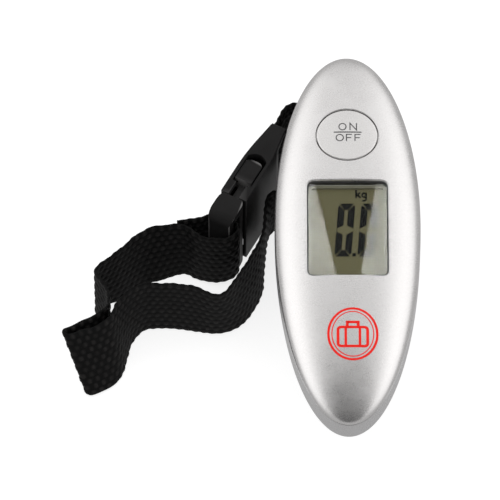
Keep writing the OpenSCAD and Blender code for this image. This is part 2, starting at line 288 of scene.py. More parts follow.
# Each row is the webbing's middle, x, y, z, and how far its top edge leans along x and y.
# Both stretches start at the pin and end at the buckle, the front one after the loop.
FRONT_ROUTE = [
    (0, 1.5, 9.5, -12.5, 0), (0, -0.3, 9.45, -12.5, 0), (0, -2.15, 8.65, -12.5, 0),
    (0, -3.05, 6.5, -12.5, 0), (0, -2.15, 4.35, -12.5, 0), (0, -0.3, 3.5, -12.5, 0),
    (-0.5, 9.5, 4, -12.2, -2.2), (-4, 15, 5.5, -10.3, -6), (-9.5, 19.3, 7.8, -6.7, -7.9),
    (-15.2, 22.3, 10.4, -3.9, -6.6), (-19.5, 24.3, 12.4, -1.3, -3.2), (-22.8, 24.8, 12.7, 0, -0.5),
    (-24.9, 22.5, 12.7, 0, 0), (-26.5, 9, 12.6, 0, 0), (-28.5, 0.8, 12.7, -1.4, 0),
    (-33.3, -8.2, 12.7, -1.2, 0.8), (-37.2, -12.6, 12.6, -0.5, -0.2), (-41.1, -14, 12.6, 0, -0.6),
    (-46.8, -12.4, 12.6, 0, 0.4), (-53.2, -11.2, 12.6, 0, 0.6), (-59.6, -10.9, 12.6, 0, 0.6),
    (-64.2, -11.5, 12.6, 0, 0.9), (-68.6, -15.3, 12.6, -0.6, 2.1), (-70.6, -19.3, 12.6, -1.4, 2.7),
    (-72.9, -25.8, 12.4, -2.1, 3.1), (-76.2, -28.8, 12, -3.2, 3.8), (-79.6, -30.6, 11.8, -3.4, 4.3),
    (-84.5, -32.2, 11.7, -3.6, 4.6), (-85.6, -30.8, 11.7, -3.6, 4.6), (-84.2, -29.4, 11.7, -3.5, 4.5),
    (-78.6, -25.6, 12.3, -2.2, 3.2), (-75, -20.4, 12.6, -0.6, 1.8), (-75.4, -13, 12.6, 0, 0.6),
    (-79, -6.4, 12.6, 0, 0.2), (-78.8, -4.6, 12.6, 0, 0.2), (-72, 0.4, 12.7, -0.6, 0.9),
    (-65, 6.6, 12.7, -0.9, 1.6), (-60.5, 8.4, 12.7, -0.6, 2.5), (-51.3, 10.2, 12.7, 0, 1.4),
    (-47, 7, 13.2, 0, 0.5), (-41, 4.8, 14.6, 0, 0.3), (-36.8, 5, 15.7, 0, 0),
    (-34.6, 7.2, 16.1, 0, 0), (-34.9, 9.9, 16.25, 0, 0), (-36.8, 11.2, 16.25, 0, 0),
    (-41.3, 13.7, 16.25, 0, 0), (-44.5, 13.4, 14.6, 0, 0.2), (-48.5, 12.8, 13.4, 0, 0.6),
    (-53.6, 12, 12.8, 0, 1.3)]
TAIL_ROUTE = [
    (0, 1.6, 9.5, -12.5, 0), (0, 3, 9.55, -12.5, 0), (0.7, 9, 10.7, -12.4, 1.5), (3.2, 18, 10.8, -12.5, 0),
    (1.5, 28, 9.7, -12.1, -2.2), (-2.5, 37, 8.8, -11.2, -3.6), (-6.5, 43.5, 9.5, -9.9, -4.5),
    (-9.3, 49.6, 11.2, -7, -4.2), (-12, 55.6, 12.9, -2.4, -3.5), (-15.3, 57.2, 14.3, 0, -0.8),
    (-18.4, 55.2, 15.5, 0, 0), (-20.9, 51.1, 16, 0, 0), (-22.7, 46.7, 16.25, 0, 0),
    (-23.8, 43.9, 16.25, 0, 0), (-24.6, 42.3, 16.25, 0, 0), (-24.3, 40.5, 16.25, 0, 0),
    (-22.7, 39.7, 16.25, 0, 0), (-21, 40.4, 16.25, 0, 0), (-20.1, 41.9, 16.25, 0, 0),
    (-19.5, 44, 16.25, 0, 0), (-20.5, 46, 16.25, 0, 0), (-19.4, 48.7, 16, 0, 0),
    (-17.5, 51, 15.4, 0, 0)]


def smooth_rows(route, step):
    """The route's rows on one smooth curve, evenly spaced by step."""
    rows = np.array(route, float)
    knots = np.concatenate([[0], np.cumsum(np.linalg.norm(np.diff(rows[:, :3], axis=0), axis=1) ** 0.5)])
    ends = np.vstack([2 * rows[0] - rows[1], rows, 2 * rows[-1] - rows[-2]])
    times = np.concatenate([[2 * knots[0] - knots[1]], knots, [2 * knots[-1] - knots[-2]]])
    fine = []
    for i in range(1, len(rows)):
        a, b, c, d = ends[i - 1:i + 3]
        ta, tb, tc, td = times[i - 1:i + 3]
        slope_b = (c - b) / (tc - tb) - (c - a) / (tc - ta) + (b - a) / (tb - ta)
        slope_c = (d - c) / (td - tc) - (d - b) / (td - tb) + (c - b) / (tc - tb)
        for u in np.linspace(0, 1, 24, endpoint=False):
            s = tc - tb
            fine.append((2 * u**3 - 3 * u**2 + 1) * b + (u**3 - 2 * u**2 + u) * s * slope_b
                        + (3 * u**2 - 2 * u**3) * c + (u**3 - u**2) * s * slope_c)
    fine.append(rows[-1])
    fine = np.array(fine)
    far = np.concatenate([[0], np.cumsum(np.linalg.norm(np.diff(fine[:, :3], axis=0), axis=1))])
    count = int(round(far[-1] / step)) + 1
    even = np.linspace(0, far[-1], count)
    return np.stack([np.interp(even, far, fine[:, k]) for k in range(5)], axis=1), even


def web_frames(rows):
    """Middle, unit vector to the top edge and face normal at each row."""
    middle = rows[:, :3]
    up = np.sqrt(np.clip((WEB_W / 2) ** 2 - rows[:, 3] ** 2 - rows[:, 4] ** 2, 0, None))
    lean = np.column_stack([rows[:, 3], rows[:, 4], up])
    lean /= np.linalg.norm(lean, axis=1, keepdims=True)
    along = np.gradient(middle, axis=0)
    normal = np.cross(along, lean)
    normal /= np.linalg.norm(normal, axis=1, keepdims=True)
    return middle, lean, normal


def webbing(name, route, material):
    """Woven webbing: yarns that rise in turn over each side, and rounded woven edges."""
    rows, far = smooth_rows(route, RING_STEP)
    middle, lean, normal = web_frames(rows)
    per_side = YARNS * SAMPLES_PER_YARN + 1
    across = np.linspace(-1, 1, per_side)
    yarn = (across + 1) / 2 * YARNS
    inside = np.clip((1 - np.abs(across)) * WEB_W / 2 / EDGE_ROUND, 0, 1)
    thin = np.sqrt(1 - (1 - inside) ** 2) * 0.92 + 0.08
    valley = np.abs(np.sin(np.pi * yarn)) ** 0.6
    index = np.minimum(np.floor(yarn), YARNS - 1)
    turn = np.pi * far[:, None] / FLOAT_LENGTH + np.pi * index[None, :] + np.pi / 6
    chance = np.sin(np.floor(turn / np.pi) * 12.99 + index[None, :] * 78.23) * 43758.5
    uneven = 0.55 + 0.45 * (chance - np.floor(chance))
    rise = (0.5 + 0.5 * np.sin(turn)) * uneven
    edge_wave = 0.2 * np.sin(far / 1.1) + 0.16 * np.sin(far / 2.3 + 1)
    half = np.where(across[None, :] > 0, WEB_W / 2 - 0.35 + edge_wave[:, None], WEB_W / 2 - 0.05)
    base = WEB_T / 2 - YARN_RISE
    points, crest_highlights = [], []
    for side, share in ((1, rise), (-1, uneven - rise)):
        order = range(per_side) if side > 0 else range(per_side - 1, -1, -1)
        height = (base + YARN_RISE * valley[None, :] * share) * thin[None, :] * side
        for k in order:
            points.append(middle + lean * (across[k] * half[:, k])[:, None] + normal * height[:, k:k + 1])
            crest_highlights.append(valley[k] * share[:, k])
    ring = len(points)
    grid = np.stack(points, axis=1)
    count = len(rows)
    start = np.arange(count - 1)[:, None] * ring + np.arange(ring)[None, :]
    nxt = np.arange(count - 1)[:, None] * ring + (np.arange(ring)[None, :] + 1) % ring
    quads = np.stack([start, nxt, nxt + ring, start + ring], axis=2).reshape(-1, 4)
    faces = quads.tolist()
    last = (count - 1) * ring
    for k in range(per_side - 1):
        a, b = k, k + 1
        c, d = ring - 2 - k, ring - 1 - k
        faces.append([a, d, c, b])
        faces.append([last + a, last + b, last + c, last + d])
    piece = new_object(name, grid.reshape(-1, 3), faces, material)
    # Each point's crest height, which the webbing material turns into a painted highlight on the crests
    crest_highlight = piece.data.attributes.new("crest_highlight", "FLOAT", "POINT")
    crest_highlight.data.foreach_set("value", np.stack(crest_highlights, axis=1).reshape(-1))
    return piece, middle * MM, far[-1] * MM


def web_material():
    """Black polypropylene yarn with painted light: paler on the yarn crests as a painted highlight and darker
    in the valleys as painted shade, with its filaments as fine relief.
    """
    made, tree, shader = new_material("webbing_black")
    place = place_of(tree)
    hair = tree.node("ShaderNodeTexNoise", {"Vector": place, "Scale": 5200.0, "Detail": 3.0})
    dust = tree.node("ShaderNodeTexNoise", {"Vector": place, "Scale": 380.0, "Detail": 2.0})
    tones = tree.span(tree.math("ADD", hair.outputs["Fac"], dust.outputs["Fac"]), 0.7, 1.3, 0.3, 1.0)
    # Painted highlight: yarn crests get a paler colour, and the valleys stay dark as painted shade
    crest_highlight = tree.node("ShaderNodeAttribute", attribute_name="crest_highlight").outputs["Fac"]
    light = tree.math("MULTIPLY", tones, tree.span(crest_highlight, 0.1, 0.85, 0.0, 1.0, True))
    tree.put(tree.mix(light, rgba((0.0025, 0.0025, 0.0025)), rgba((0.023, 0.0215, 0.021))),
             shader.inputs["Base Color"])
    tree.put(tree.span(hair.outputs["Fac"], 0.3, 0.7, 0.5, 0.72), shader.inputs["Roughness"])
    bump = tree.node("ShaderNodeBump", {"Height": hair.outputs["Fac"], "Distance": 0.06 * MM,
                                        "Strength": 1.0})
    tree.put(bump.outputs[0], shader.inputs["Normal"])
    shader.inputs["Specular IOR Level"].default_value = 0.13
    return made


webbing_black = web_material()
web, web_path, web_length = webbing("webbing_loop", TAIL_ROUTE[:0:-1] + FRONT_ROUTE, webbing_black)
add_to(web, "scale", "webbing", "strap", "strap_tail")


# --------------------------------------------------------------------------
# Floor and studio light
# --------------------------------------------------------------------------
def make_floor():
    vertices = [(x * 3000, y * 3000, 0) for x, y in ((-1, -1), (1, -1), (1, 1), (-1, 1))]
    floor = new_object("floor", vertices, [(0, 1, 2, 3)],
                       finish("floor_white", (0.3, 0.3, 0.3), 0.9, grain=2.0, depth=0.0, contrast=0.01,
                              Specular_IOR_Level=0.0, Emission_Color=(1, 1, 1, 1), Emission_Strength=0.8))
    floor.visible_glossy = False
    return floor


SIDE_LEVEL = 0.56


def make_world():
    """A white studio: a bright wall behind and at the sides, and a dark ceiling."""
    world = bpy.data.worlds.new("studio")
    world.use_nodes = True
    bpy.context.scene.world = world
    tree = Tree(world.node_tree)
    axes = tree.node("ShaderNodeSeparateXYZ",
                     {0: tree.node("ShaderNodeTexCoord").outputs["Generated"]})
    height = axes.outputs["Z"]
    behind = tree.span(axes.outputs["Y"], -0.25, 0.3, 0.0, 1.0, True)
    aside = tree.span(tree.math("ABSOLUTE", axes.outputs["X"]), 0.1, 0.4, 0.0, 0.72, True)
    wall = tree.math("ADD", tree.span(height, 0.65, 0.83, 0.88, 1.14), aside)
    lifted = tree.math("MULTIPLY", tree.math("SUBTRACT", wall, SIDE_LEVEL),
                       tree.span(height, 0.35, 0.6, 0.0, 1.0, True))
    level = tree.math("ADD", SIDE_LEVEL, tree.math("MULTIPLY", behind, lifted))
    strength = tree.math("MULTIPLY", level, tree.span(height, 0.86, 0.92, 1.0, 0.1, True))
    background = world.node_tree.nodes["Background"]
    background.inputs["Color"].default_value = (1.0, 0.995, 0.99, 1.0)
    tree.put(strength, background.inputs["Strength"])


def area_light(name, size, power):
    """A rectangular light that the camera doesn't see."""
    data = bpy.data.lights.new(name, "AREA")
    data.shape = "RECTANGLE"
    data.size, data.size_y = size
    data.energy = power
    made = bpy.data.objects.new(name, data)
    made.visible_camera = False
    bpy.context.scene.collection.objects.link(made)
    return made


floor = make_floor()
make_world()
CEILING_AT = Vector((0, 0.1, 1.6))
ceiling = area_light("ceiling", (2.4, 2.4), 22)
ceiling.location = CEILING_AT
ceiling.rotation_mode = "QUATERNION"
ceiling.rotation_quaternion = CEILING_AT.to_track_quat("Z", "Y")
ceiling.visible_glossy = False
bpy.context.scene.view_settings.view_transform = "Standard"


# --------------------------------------------------------------------------
# Body: the egg outline and its crowned face
# --------------------------------------------------------------------------
COVER_LOW, COVER_HIGH = low_mm("front_cover"), high_mm("front_cover")
HALF_W = COVER_HIGH[0]
BODY_MID = 5.7
TOP_L = COVER_HIGH[1] - BODY_MID
BOTTOM_L = BODY_MID - COVER_LOW[1]
RIM_Z = high_mm("rear_casing")[2]
CROWN = 4.6
SHELL = 1.6
GROOVE = 0.3
BASE_Z = low_mm("rear_casing")[2]
LENS_LOW, LENS_HIGH = low_mm("display_lens"), high_mm("display_lens")
WINDOW_MID = (LENS_LOW[1] + LENS_HIGH[1]) / 2
WINDOW_HALF = (LENS_HIGH[0] + 0.2, (LENS_HIGH[1] - LENS_LOW[1]) / 2 + 0.2)
WINDOW_CORNER = 2.0
BUTTON_LOW, BUTTON_HIGH = low_mm("power_button"), high_mm("power_button")
BUTTON_Y = (BUTTON_LOW[1] + BUTTON_HIGH[1]) / 2
OPENING_R = 9.93
BUTTON_R = 9.65


def length_at(y):
    return np.where(y > BODY_MID, TOP_L, BOTTOM_L)


def share_at(x, y):
    return np.hypot(x / HALF_W, (y - BODY_MID) / length_at(y))


def face_z(x, y):
    return RIM_Z + CROWN * np.sqrt(np.clip(1 - share_at(x, y) ** 2.5, 0, 1))


def on_outline(share, angle, inset=0.0):
    length = TOP_L if math.sin(angle) > 0 else BOTTOM_L
    return (share * (HALF_W - inset) * math.cos(angle), BODY_MID + share * (length - inset) * math.sin(angle))


def rounded_rectangle(half, corner, inset, step=1.2):
    """Points round a rounded rectangle about the origin, moved in by inset (out if negative)."""
    w, l, r = half[0] - inset, half[1] - inset, max(corner - inset, 0.15)
    points = []
    for quarter in range(4):
        turn = quarter * math.pi / 2
        a, b = (w, l) if quarter % 2 == 0 else (l, w)
        centre = (a - r, b - r)
        arc = [(centre[0] + r * math.cos(t), centre[1] + r * math.sin(t))
               for t in np.linspace(0, math.pi / 2, 9)]
        count = max(2, int(2 * (a - r) / step))
        side = [(centre[0] - i * 2 * (a - r) / count, b) for i in range(1, count)]
        for x, y in arc + side:
            points.append((x * math.cos(turn) - y * math.sin(turn), x * math.sin(turn) + y * math.cos(turn)))
    return points


def window_ring(inset):
    return [(x, y + WINDOW_MID) for x, y in rounded_rectangle(WINDOW_HALF, WINDOW_CORNER, inset)]


def window_gap(x, y):
    """How far a place lies outside the window's edge."""
    a = np.abs(x) - (WINDOW_HALF[0] - WINDOW_CORNER)
    b = np.abs(y - WINDOW_MID) - (WINDOW_HALF[1] - WINDOW_CORNER)
    past = np.hypot(np.clip(a, 0, None), np.clip(b, 0, None))
    return past + np.minimum(np.maximum(a, b), 0) - WINDOW_CORNER


def button_gap(x, y):
    return np.hypot(x, y - BUTTON_Y) - OPENING_R


def fillet(gap, radius):
    inside = np.clip(radius - gap, 0, radius)
    return radius - np.sqrt(radius**2 - inside**2)


def front_shell(material):
    """The front cover: one closed shell, with rounded edges at its rim, window and button opening."""
    points, edges = [], []

    def loop(ring):
        first = len(points)
        points.extend(ring)
        edges.extend((first + i, first + (i + 1) % len(ring)) for i in range(len(ring)))

    shares = [1, 0.9985, 0.995, 0.989, 0.98, 0.968, 0.953, 0.935, 0.912, 0.885, 0.85]
    for share in shares:
        loop([on_outline(share, t) for t in np.linspace(0, 2 * math.pi, 256, endpoint=False)])
    offsets = [0, 0.06, 0.14, 0.26, 0.42, 0.7, 1.2]
    for offset in offsets:
        loop(window_ring(-offset))
        loop(ellipse(0, BUTTON_Y, OPENING_R + offset, OPENING_R + offset, 120))
    for share in np.linspace(0.81, 0.03, 22):
        count = max(8, int(200 * share))
        for t in np.linspace(0, 2 * math.pi, count, endpoint=False):
            x, y = on_outline(share, t)
            if window_gap(x, y) > 1.7 and button_gap(x, y) > 1.7:
                points.append((x, y))
    flat, _, triangles, *_ = delaunay_2d_cdt([Vector(p) for p in points], edges, [], 0, 1e-5, False)
    x = np.array([p[0] for p in flat])
    y = np.array([p[1] for p in flat])
    triangles = np.array([t for t in triangles])
    mx, my = x[triangles].mean(axis=1), y[triangles].mean(axis=1)
    triangles = triangles[(window_gap(mx, my) > 0) & (button_gap(mx, my) > 0)]
    share = share_at(x, y)
    top = face_z(x, y) + np.where(share > 0.999, GROOVE / 2, 0)
    top -= fillet(window_gap(x, y), 0.42) + fillet(button_gap(x, y), 0.26)
    inward = np.clip((share - 0.8) / 0.2, 0, 1)
    inner_x = x * (1 - inward * 2 / HALF_W)
    inner_y = BODY_MID + (y - BODY_MID) * (1 - inward * 2 / length_at(y))
    inner_z = RIM_Z + np.clip((top - RIM_Z - SHELL) * (1 - inward), 0.0, None)
    count = len(x)
    vertices = np.vstack([np.column_stack([x, y, top]), np.column_stack([inner_x, inner_y, inner_z])])
    faces = triangles.tolist() + (triangles[:, ::-1] + count).tolist()
    used = {}
    for a, b, c in triangles.tolist():
        for edge in ((a, b), (b, c), (c, a)):
            used[edge] = True
    vertices = vertices.tolist()
    tucked = {}
    for a, b in used:
        if (b, a) in used:
            continue
        if share[a] > 0.999:
            for k in (a, b):
                if k not in tucked:
                    tucked[k] = len(vertices)
                    vertices.append([x[k] * (1 - GROOVE / HALF_W),
                                     BODY_MID + (y[k] - BODY_MID) * (1 - GROOVE / float(length_at(y[k]))),
                                     RIM_Z + 0.01])
            faces.append([b, a, tucked[a], tucked[b]])
            faces.append([tucked[b], tucked[a], a + count, b + count])
        else:
            faces.append([b, a, a + count, b + count])
    piece = new_object("front_shell", vertices, faces, material)
    piece.data.set_sharp_from_angle(angle=math.radians(50))
    return piece


def egg_rings(name, profile, material, count=256, inset=0.0):
    """A closed solid turned over the egg outline from a profile of share and height."""
    angles = np.linspace(0, 2 * math.pi, count, endpoint=False)
    rings = [[(*on_outline(share, t, inset), z) for t in angles] for share, z in profile]
    return new_object(name, *loft(rings), material)


def corner_cut(profile, passes=3):
    """A smoother profile, by cutting its corners a few times."""
    for _ in range(passes):
        cut_points = [profile[0]]
        for a, b in zip(profile, profile[1:]):
            cut_points.append((a[0] * 0.75 + b[0] * 0.25, a[1] * 0.75 + b[1] * 0.25))
            cut_points.append((a[0] * 0.25 + b[0] * 0.75, a[1] * 0.25 + b[1] * 0.75))
        profile = cut_points + [profile[-1]]
    return profile


def cylinder(name, x, y, z, radius, height, material, flare=0.0, count=72):
    """A cylinder along Z, with its lower end flared to leave a chamfer where it cuts."""
    profile = [(radius, z), (radius, z + height)]
    if flare:
        profile = [(radius + flare, z - flare), (radius, z + flare), (radius, z + height)]
    rings = [circle_at(x, y, r, h, count) for r, h in profile]
    return new_object(name, *loft(rings), material, smooth=False)


def cuboid(name, low, high, material):
    vertices = [(x, y, z) for z in (low[2], high[2]) for y in (low[1], high[1]) for x in (low[0], high[0])]
    faces = [(0, 2, 3, 1), (4, 5, 7, 6), (0, 1, 5, 4), (2, 6, 7, 3), (0, 4, 6, 2), (1, 3, 7, 5)]
    return new_object(name, vertices, faces, material, smooth=False)


CASE_SCREWS = [(x, y) for x in (-10.5, 10.5) for y in (52, -48)]
POST_R = 3.0
WELL_R = 2.5
COLLAR_R = 14.0
MOUTH_R = 11.7
CHEEK_T = 2.0
SLOT_PLAY = 0.4
SLOT_HALF_L = 5.6


def rear_shell(material):
    """The rear casing: a smooth bowl with the battery mouth, shackle slots and screw wells."""
    outer = corner_cut([(0.45, BASE_Z), (0.62, BASE_Z), (0.72, BASE_Z + 2.6), (0.83, BASE_Z + 6.2),
                        (0.92, BASE_Z + 9.6), (1.0, BASE_Z + 11.4), (1.0, BASE_Z + 13.6)])
    rim = [(1.0, RIM_Z - 0.6), (1.0, RIM_Z - GROOVE / 2), (1 - GROOVE / HALF_W, RIM_Z - 0.01)]
    bowl = egg_rings("rear_shell", outer + rim, material)
    bounds = egg_rings("bounds", outer + rim, material)
    hollow = corner_cut([(0.4, BASE_Z + 2), (0.6, BASE_Z + 2), (0.83, BASE_Z + 7.6), (1.0, BASE_Z + 12.5)], 2)
    room = egg_rings("room", hollow + [(1.0, RIM_Z + 1)], material, 160, 2.0)
    cap_low, cap_high = low_mm("battery_cap"), high_mm("battery_cap")
    cap_y = (cap_low[1] + cap_high[1]) / 2
    cheeks = (low_mm("shackle")[0] + CHEEK_T / 2, high_mm("shackle")[0] - CHEEK_T / 2)
    slot_half = CHEEK_T / 2 + SLOT_PLAY
    collar = cylinder("collar", 0, cap_y, BASE_Z + 0.5, COLLAR_R, 4.1, material)
    cut(bowl, [room])
    posts = [cylinder("post", x, y, BASE_Z + 3.4, POST_R, 12, material, count=48) for x, y in CASE_SCREWS]
    cut(collar, posts, "UNION")
    cut(collar, [bounds], "INTERSECT")
    cut(bowl, [collar], "UNION")
    cutters = [cylinder("mouth", 0, cap_y, BASE_Z, MOUTH_R, 8, material, flare=0.3)]
    cutters += [cuboid("slot", (x - slot_half, -SLOT_HALF_L, BASE_Z - 1),
                       (x + slot_half, SLOT_HALF_L, BASE_Z + 11), material) for x in cheeks]
    cutters += [cylinder("well", x, y, BASE_Z - 1, WELL_R, 12, material, count=48) for x, y in CASE_SCREWS]
    cut(bowl, cutters)
    sharpen(bowl, 32)
    return bowl


cover_paint = finish("cover_silver", (0.66, 0.65, 0.648), 0.28, 0.95, grain=0.2, depth=0.013, contrast=0.09)
casing_paint = finish("casing_silver", (0.58, 0.575, 0.58), 0.28, 0.92, grain=0.5, depth=0.004, contrast=0.04)
add_to(front_shell(cover_paint), "scale", "cover_paint", "front_cover")
add_to(rear_shell(casing_paint), "scale", "casing_paint", "rear_casing")


# --------------------------------------------------------------------------
# Button and its printed words
# --------------------------------------------------------------------------
def button_surface(x, y):
    return face_z(x, y) - 0.04


def button_cap(material):
    """The button: flush with the face, with a rounded edge, a skirt and its flange."""
    rings = [0, 1.5, 3, 4.5, 6, 7.2, 8.2, 8.8, 9.1, 9.3, 9.42, 9.52, BUTTON_R]
    vertices = [(0, BUTTON_Y, float(button_surface(0.0, BUTTON_Y)))]
    count = 96
    for r in rings[1:]:
        drop = float(fillet(np.array(BUTTON_R - r), 0.3))
        vertices += [(x, y, float(button_surface(x, y)) - drop) for x, y in ellipse(0, BUTTON_Y, r, r, count)]
    for r, z in ((BUTTON_R, BUTTON_LOW[2] + 0.8), (BUTTON_HIGH[0], BUTTON_LOW[2] + 0.8),
                 (BUTTON_HIGH[0], BUTTON_LOW[2])):
        vertices += circle_at(0, BUTTON_Y, r, z, count)
    faces = [(0, 1 + k, 1 + (k + 1) % count) for k in range(count)]
    total = (len(vertices) - 1) // count
    for i in range(total - 1):
        for k in range(count):
            a, b = 1 + i * count + k, 1 + i * count + (k + 1) % count
            faces.append((a, a + count, b + count, b))
    last = 1 + (total - 1) * count
    faces.append(tuple(range(last + count - 1, last - 1, -1)))
    piece = new_object("button_cap", vertices, faces, material)
    piece.data.set_sharp_from_angle(angle=math.radians(60))
    return piece


def stroke(points, width, height_at, thick=0.02, closed=False, step=0.25):
    """A flat printed line of a width, laid on a surface: its vertices and faces."""
    line = [np.array(p, float) for p in points]
    if closed:
        line.append(line[0])
    dense = []
    for a, b in zip(line, line[1:]):
        pieces = max(1, int(math.ceil(np.linalg.norm(b - a) / step)))
        dense.extend(a + (b - a) * i / pieces for i in range(pieces))
    if not closed:
        dense.append(line[-1])
    dense = np.array(dense)
    before = np.roll(dense, 1, axis=0)
    after = np.roll(dense, -1, axis=0)
    if not closed:
        before[0], after[-1] = dense[0], dense[-1]
    way_in = dense - before
    way_out = after - dense
    if not closed:
        way_in[0], way_out[-1] = way_out[0], way_in[-1]
    way_in /= np.linalg.norm(way_in, axis=1, keepdims=True)
    way_out /= np.linalg.norm(way_out, axis=1, keepdims=True)
    side = np.column_stack([-(way_in + way_out)[:, 1], (way_in + way_out)[:, 0]])
    size = np.linalg.norm(side, axis=1, keepdims=True)
    side /= np.maximum(size, 1e-9)
    cosine = np.clip(side[:, 0] * -way_in[:, 1] + side[:, 1] * way_in[:, 0], 0.35, 1)[:, None]
    offset = side * width / 2 / cosine
    vertices, faces = [], []
    for (x, y), (dx, dy) in zip(dense, offset):
        for s, lift in ((1, thick), (-1, thick), (-1, -thick), (1, -thick)):
            px, py = x + s * dx, y + s * dy
            vertices.append((px, py, float(height_at(px, py)) + lift))
    rings = len(dense)
    for i in range(rings if closed else rings - 1):
        a, b = 4 * i, 4 * ((i + 1) % rings)
        for k in range(4):
            faces.append((a + k, a + (k + 1) % 4, b + (k + 1) % 4, b + k))
    if not closed:
        faces.append((3, 2, 1, 0))
        faces.append((4 * rings - 4, 4 * rings - 3, 4 * rings - 2, 4 * rings - 1))
    return vertices, faces


def printed(name, strokes, material, body, slot):
    """Joins strokes into one printed piece. Each is its points, width, surface and whether it closes."""
    vertices, faces = [], []
    for points, width, height_at, closed in strokes:
        more, more_faces = stroke(points, width, height_at, closed=closed)
        faces.extend(tuple(i + len(vertices) for i in f) for f in more_faces)
        vertices.extend(more)
    return add_to(new_object(name, vertices, faces, material, smooth=False), body, slot)


def letter_f(x, y, w, h):
    return [[(x, y), (x, y + h), (x + w, y + h)], [(x, y + h * 0.5), (x + w * 0.85, y + h * 0.5)]]


button_paint = finish("button_silver", (0.67, 0.66, 0.655), 0.28, 0.95, grain=0.2, depth=0.01, contrast=0.07)
ink_black = finish("ink_black", (0.03, 0.03, 0.032), 0.45, grain=0.2, depth=0.004, contrast=0.2)
add_to(button_cap(button_paint), "button", "button_paint", "power_button")
INK = 0.34
words = [(ellipse(-1.42, 39.8, 1.12, 1.25), INK, button_surface, True),
         ([(0.95, 38.45), (0.95, 41.15), (3.0, 38.5), (3.0, 41.2)], INK, button_surface, False),
         ([(-4.2, 37.7), (4.6, 37.7)], 0.42, button_surface, False),
         (ellipse(-2.3, 35.55, 1.15, 1.22), INK, button_surface, True)]
for left in (-0.2, 2.5):
    words += [(line, INK, button_surface, False) for line in letter_f(left, 34.25, 1.75, 2.55)]
printed("button_words", words, ink_black, "button", "button_paint")


# --------------------------------------------------------------------------
# Display
# --------------------------------------------------------------------------
def window_level(inset, z):
    return [(x, y, z) for x, y in window_ring(inset)]


def ring_band(name, outer, inner, low, high, material):
    """A frame between two insets of the window's outline, from one height to another."""
    profile = [(outer, low), (outer, high), (inner, high), (inner, low)]
    piece = new_object(name, *loft([window_level(*at) for at in profile], capped=False), material,
                       smooth=False)
    sharpen(piece, 40)
    return piece


def plate(name, inset, low, high, material, edge=0.12):
    """A pane with the window's outline and fine chamfers."""
    profile = [(inset + edge, low), (inset, low + edge), (inset, high - edge), (inset + edge, high)]
    piece = new_object(name, *loft([window_level(*at) for at in profile]), material, smooth=False)
    sharpen(piece, 30)
    return piece


def lens_material():
    """A clear thin pane: see-through, with a faint sharp reflection and slight smudges."""
    made, tree, shader = new_material("lens_clear")
    made.node_tree.nodes.remove(shader)
    place = place_of(tree)
    smudge = tree.node("ShaderNodeTexNoise", {"Vector": place, "Scale": 90.0, "Detail": 4.0})
    pane = tree.node("ShaderNodeBsdfTransparent", {"Color": (0.93, 0.94, 0.91, 1)})
    gloss = tree.node("ShaderNodeBsdfGlossy",
                      {"Roughness": tree.span(smudge.outputs["Fac"], 0.35, 0.7, 0.008, 0.02)})
    share = tree.span(smudge.outputs["Fac"], 0.3, 0.7, 0.004, 0.006)
    mixed = tree.node("ShaderNodeMixShader", {0: share, 1: pane.outputs[0], 2: gloss.outputs[0]})
    output = made.node_tree.nodes["Material Output"]
    tree.put(mixed.outputs[0], output.inputs["Surface"])
    return made


LENS_TOP = LENS_HIGH[2]
LCD_TOP = high_mm("lcd_panel")[2]
BEZEL_TOP = high_mm("display_bezel")[2]
lens_clear = lens_material()
lens = add_to(plate("lens_glass", 0.2, BEZEL_TOP + 0.12, LENS_TOP, lens_clear), "scale", "clear_plastic",
              "display_lens")
gasket_black = finish("gasket_black", (0.02, 0.02, 0.021), 0.4, grain=0.3, depth=0.004)
add_to(ring_band("window_gasket", 0.02, 0.4, LCD_TOP, LENS_TOP + 0.32, gasket_black), "scale",
       "bezel_plastic")
bezel_beige = finish("bezel_beige", (0.2, 0.19, 0.155), 0.35, grain=0.6, depth=0.004, contrast=0.05,
                     Specular_IOR_Level=0.3)
add_to(ring_band("bezel_frame", 0.42, 1.4, LCD_TOP + 0.02, BEZEL_TOP, bezel_beige), "scale", "bezel_plastic",
       "display_bezel")
edge_bright = finish("bezel_edge", (0.62, 0.61, 0.57), 0.25, 0.3, grain=0.6, depth=0.002, contrast=0.05)
add_to(ring_band("bezel_bead", 0.42, 0.66, BEZEL_TOP - 0.1, BEZEL_TOP + 0.08, edge_bright), "scale",
       "bezel_plastic")


def lcd_surface(x, y):
    return LCD_TOP + 0.03


DIGIT_W, DIGIT_H = 5.35, 19.8
BAR_W, BAR_H = 2.15, 2.45
BAR_GAP = 0.16
SLANT = 1.46 / DIGIT_H
DIGIT_FEET = [(-4.3, -7.3), (2.9, -7.3)]


def digit_zero():
    """The six lit bars of a 0, as outlines in the digit's own upright frame."""
    w, h, a, b, g = DIGIT_W, DIGIT_H, BAR_W, BAR_H, BAR_GAP
    mid, tip, heel = h / 2, 0.45, 1.75
    top = [(0.5, h), (w - 0.5, h), (w - a + 0.1, h - b), (a - 0.1, h - b)]
    upper = [(0, mid + tip), (a, mid + heel), (a, h - b - 2 * g), (0.5, h - 0.5 - g), (0, h - 1.1)]
    bars = [top, upper, [(w - x, y) for x, y in upper]]
    return bars + [[(x, h - y) for x, y in bar] for bar in bars]


def slab(outline, low, high):
    """The vertices and faces of a flat plate with this outline."""
    if area_of(outline) < 0:
        outline = outline[::-1]
    return loft([[(x, y, z) for x, y in outline] for z in (low, high)])


def display_digits(material):
    vertices, faces = [], []
    outlines = []
    for foot_x, foot_y in DIGIT_FEET:
        for bar in digit_zero():
            outlines.append([(foot_x + x + y * SLANT, foot_y + y) for x, y in bar])
    outlines.append([(1.35, -7.3), (2.5, -7.3), (2.6, -6.0), (1.45, -6.0)])
    for outline in outlines:
        more, more_faces = slab(outline, LCD_TOP + 0.01, LCD_TOP + 0.05)
        faces.extend(tuple(i + len(vertices) for i in f) for f in more_faces)
        vertices.extend(more)
    return new_object("lcd_digits", vertices, faces, material, smooth=False)


